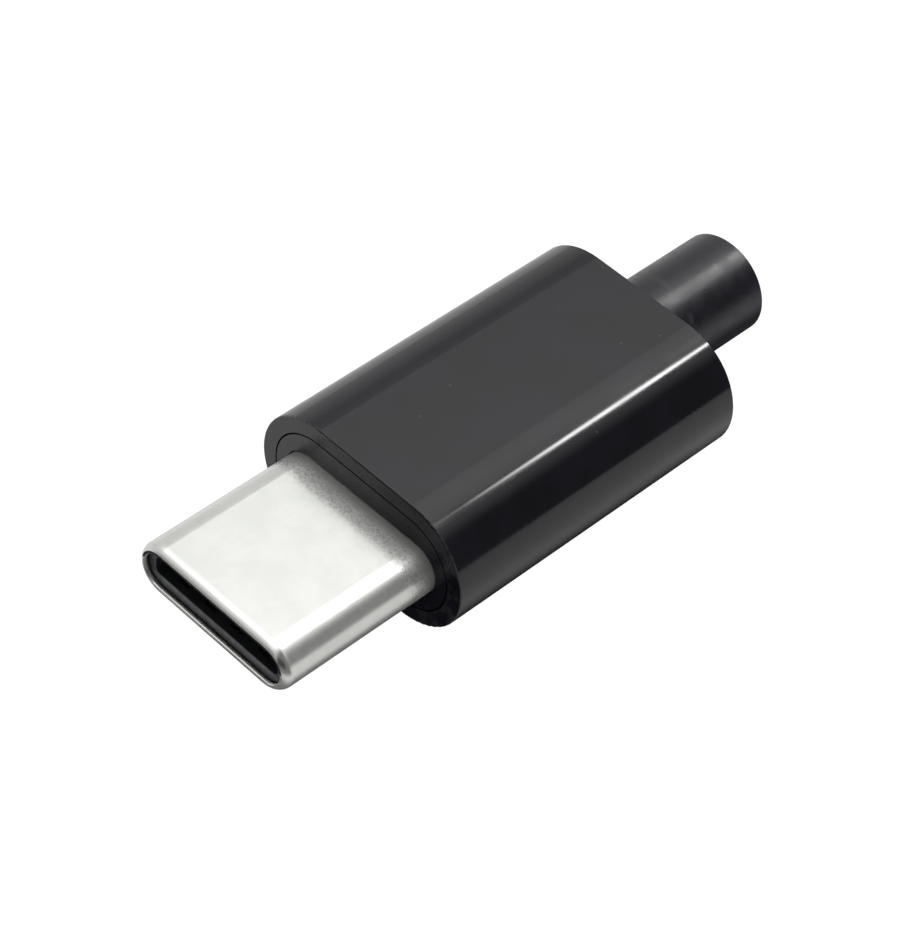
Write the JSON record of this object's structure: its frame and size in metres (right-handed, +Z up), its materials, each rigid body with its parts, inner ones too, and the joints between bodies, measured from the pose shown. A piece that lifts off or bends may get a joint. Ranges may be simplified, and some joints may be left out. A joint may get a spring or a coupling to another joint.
{
  "type": "reversible cable plug",
  "caption": "Small reversible cable plug with a drawn steel shell, spring contacts on a board, and a black moulded sleeve with a round cable tail.",
  "frame": {"origin": "middle of the plug's length and width, on the sleeve's flat underside", "axes": "-Y out of the mouth, +Y towards the round tail, X across the contact rows, +Z up from the flat underside"},
  "size_m": [0.011, 0.0286, 0.006],
  "materials": {
    "sleeve_plastic": "gloss black moulding",
    "collar_plastic": "satin black moulding",
    "shell_steel": "fine blasted steel",
    "insulator_plastic": "matte black moulding",
    "wafer_plastic": "matte black moulding",
    "contact_gold": "gold-plated copper alloy",
    "spring_steel": "rolled spring steel",
    "board_laminate": "green solder mask",
    "pad_plating": "plated copper",
    "resistor_ceramic": "coated ceramic"
  },
  "bodies": {
    "root": {"outer_sleeve": "sleeve_plastic", "inner_collar": "collar_plastic", "plug_shell": "shell_steel", "insulator": "insulator_plastic", "wafer_upper": "wafer_plastic", "wafer_lower": "wafer_plastic", "contact_a1": "contact_gold", "contact_a4": "contact_gold", "contact_a5": "contact_gold", "contact_a6": "contact_gold", "contact_a7": "contact_gold", "contact_a9": "contact_gold", "contact_a12": "contact_gold", "contact_b1": "contact_gold", "contact_b4": "contact_gold", "contact_b5": "contact_gold", "contact_b9": "contact_gold", "contact_b12": "contact_gold", "side_latch_left": "spring_steel", "side_latch_right": "spring_steel", "ground_spring_upper": "spring_steel", "ground_spring_lower": "spring_steel", "circuit_board": "board_laminate", "board_pads": "pad_plating", "sense_resistor": "resistor_ceramic"}
  },
  "joints": []
}
